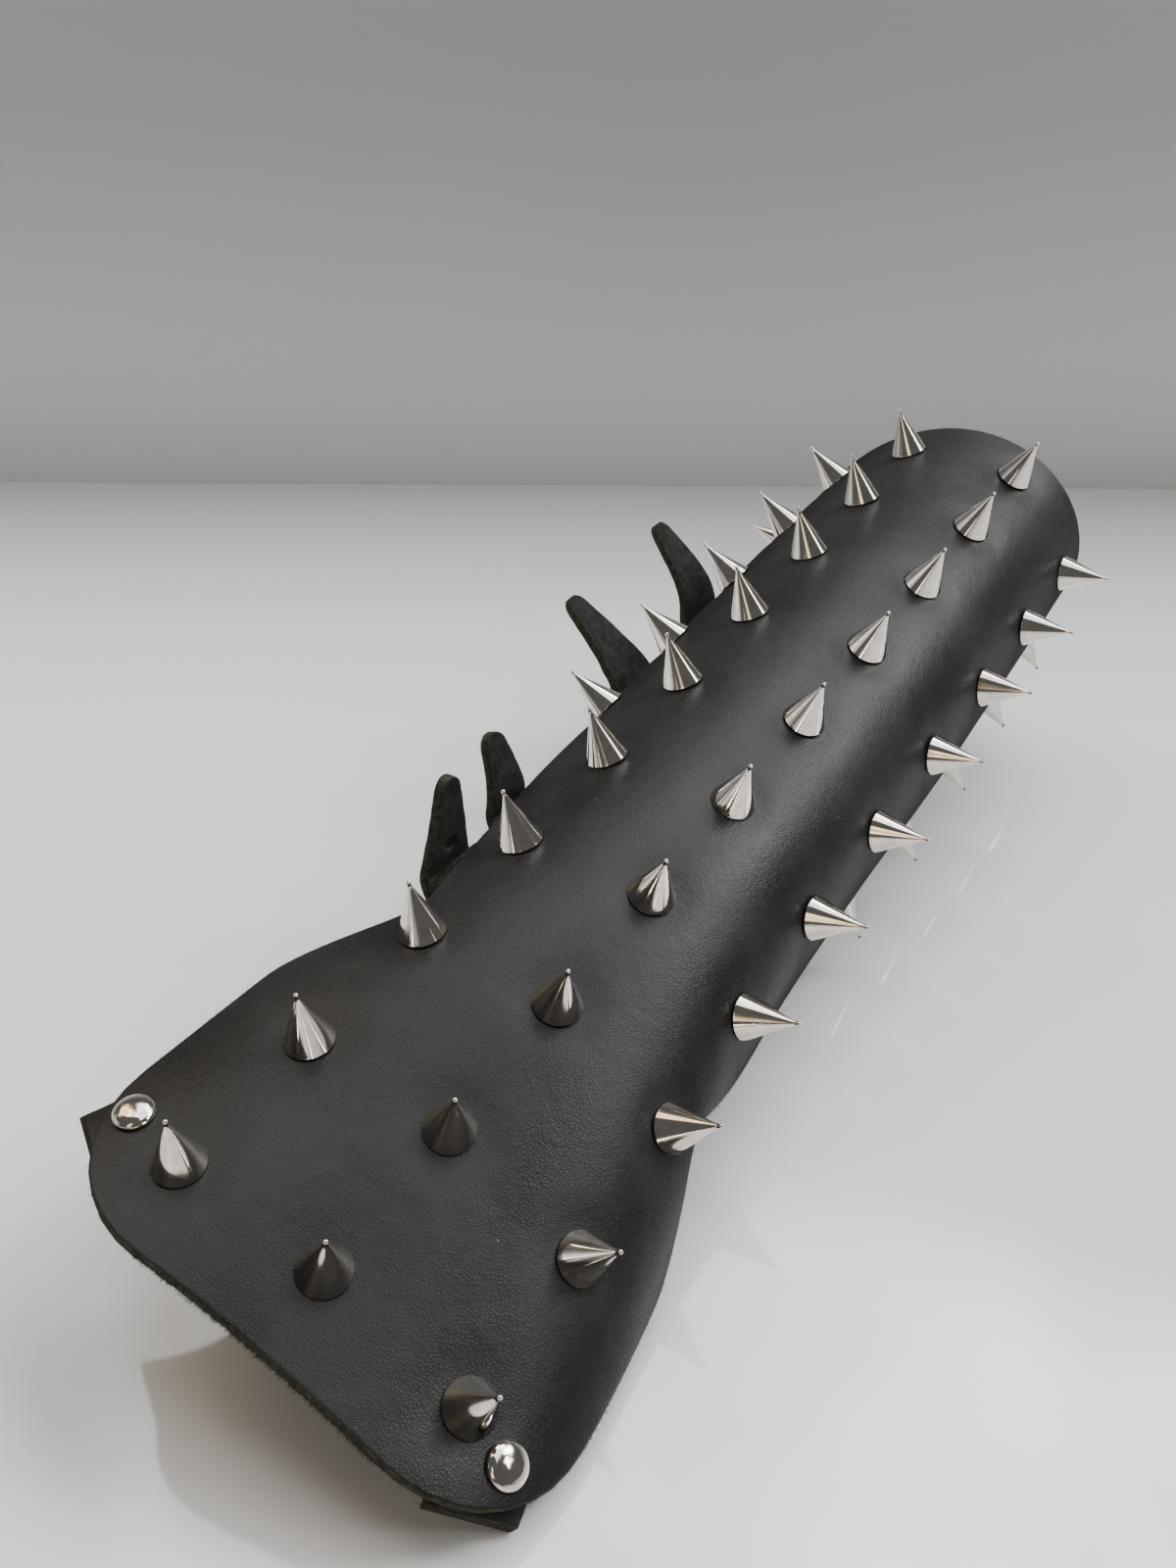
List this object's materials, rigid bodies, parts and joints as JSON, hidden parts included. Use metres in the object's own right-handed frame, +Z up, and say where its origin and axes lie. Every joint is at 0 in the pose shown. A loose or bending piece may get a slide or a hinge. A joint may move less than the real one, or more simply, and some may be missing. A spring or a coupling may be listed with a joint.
{
  "type": "studded arm guard",
  "caption": "Black leather guard rolled round the forearm, with a flared flap over the hand, rows of cone spikes, a palm strap and four buckled straps.",
  "frame": {"origin": "under the middle of the guard's bounding box, on the plane it lies on", "axes": "+Z up, +X from the hand to the elbow, +Y to the side where the straps' free ends stand out"},
  "size_m": [0.3194, 0.1246, 0.0982],
  "materials": {
    "black_leather": "smooth grained, satin, raw cut edges",
    "strap_leather": "black, suede-like flesh side",
    "nickel": "polished nickel plating"
  },
  "bodies": {
    "root": {"guard_leather": "black_leather", "spike_a_01": "nickel", "spike_a_02": "nickel", "spike_a_03": "nickel", "spike_a_04": "nickel", "spike_a_05": "nickel", "spike_a_06": "nickel", "spike_a_07": "nickel", "spike_a_08": "nickel", "spike_a_09": "nickel", "spike_a_10": "nickel", "spike_b_01": "nickel", "spike_b_02": "nickel", "spike_b_03": "nickel", "spike_b_04": "nickel", "spike_b_05": "nickel", "spike_b_06": "nickel", "spike_b_07": "nickel", "spike_b_08": "nickel", "spike_b_09": "nickel", "spike_b_10": "nickel", "spike_c_01": "nickel", "spike_c_02": "nickel", "spike_c_03": "nickel", "spike_c_04": "nickel", "spike_c_05": "nickel", "spike_c_06": "nickel", "spike_c_07": "nickel", "spike_c_08": "nickel", "spike_c_09": "nickel", "spike_c_10": "nickel", "spike_d_01": "nickel", "spike_d_02": "nickel", "spike_d_03": "nickel", "spike_d_04": "nickel", "spike_d_05": "nickel", "spike_e_01": "nickel", "spike_e_02": "nickel", "spike_e_03": "nickel", "spike_e_04": "nickel", "spike_e_05": "nickel", "spike_f_01": "nickel", "spike_g_01": "nickel", "rivet_left": "nickel", "rivet_right": "nickel", "palm_strap": "strap_leather", "strap_1": "strap_leather", "buckle_tab_1": "strap_leather", "buckle_1": "nickel", "strap_2": "strap_leather", "buckle_tab_2": "strap_leather", "buckle_2": "nickel", "strap_3": "strap_leather", "buckle_tab_3": "strap_leather", "buckle_3": "nickel", "strap_4": "strap_leather", "buckle_tab_4": "strap_leather", "buckle_4": "nickel"}
  },
  "joints": []
}
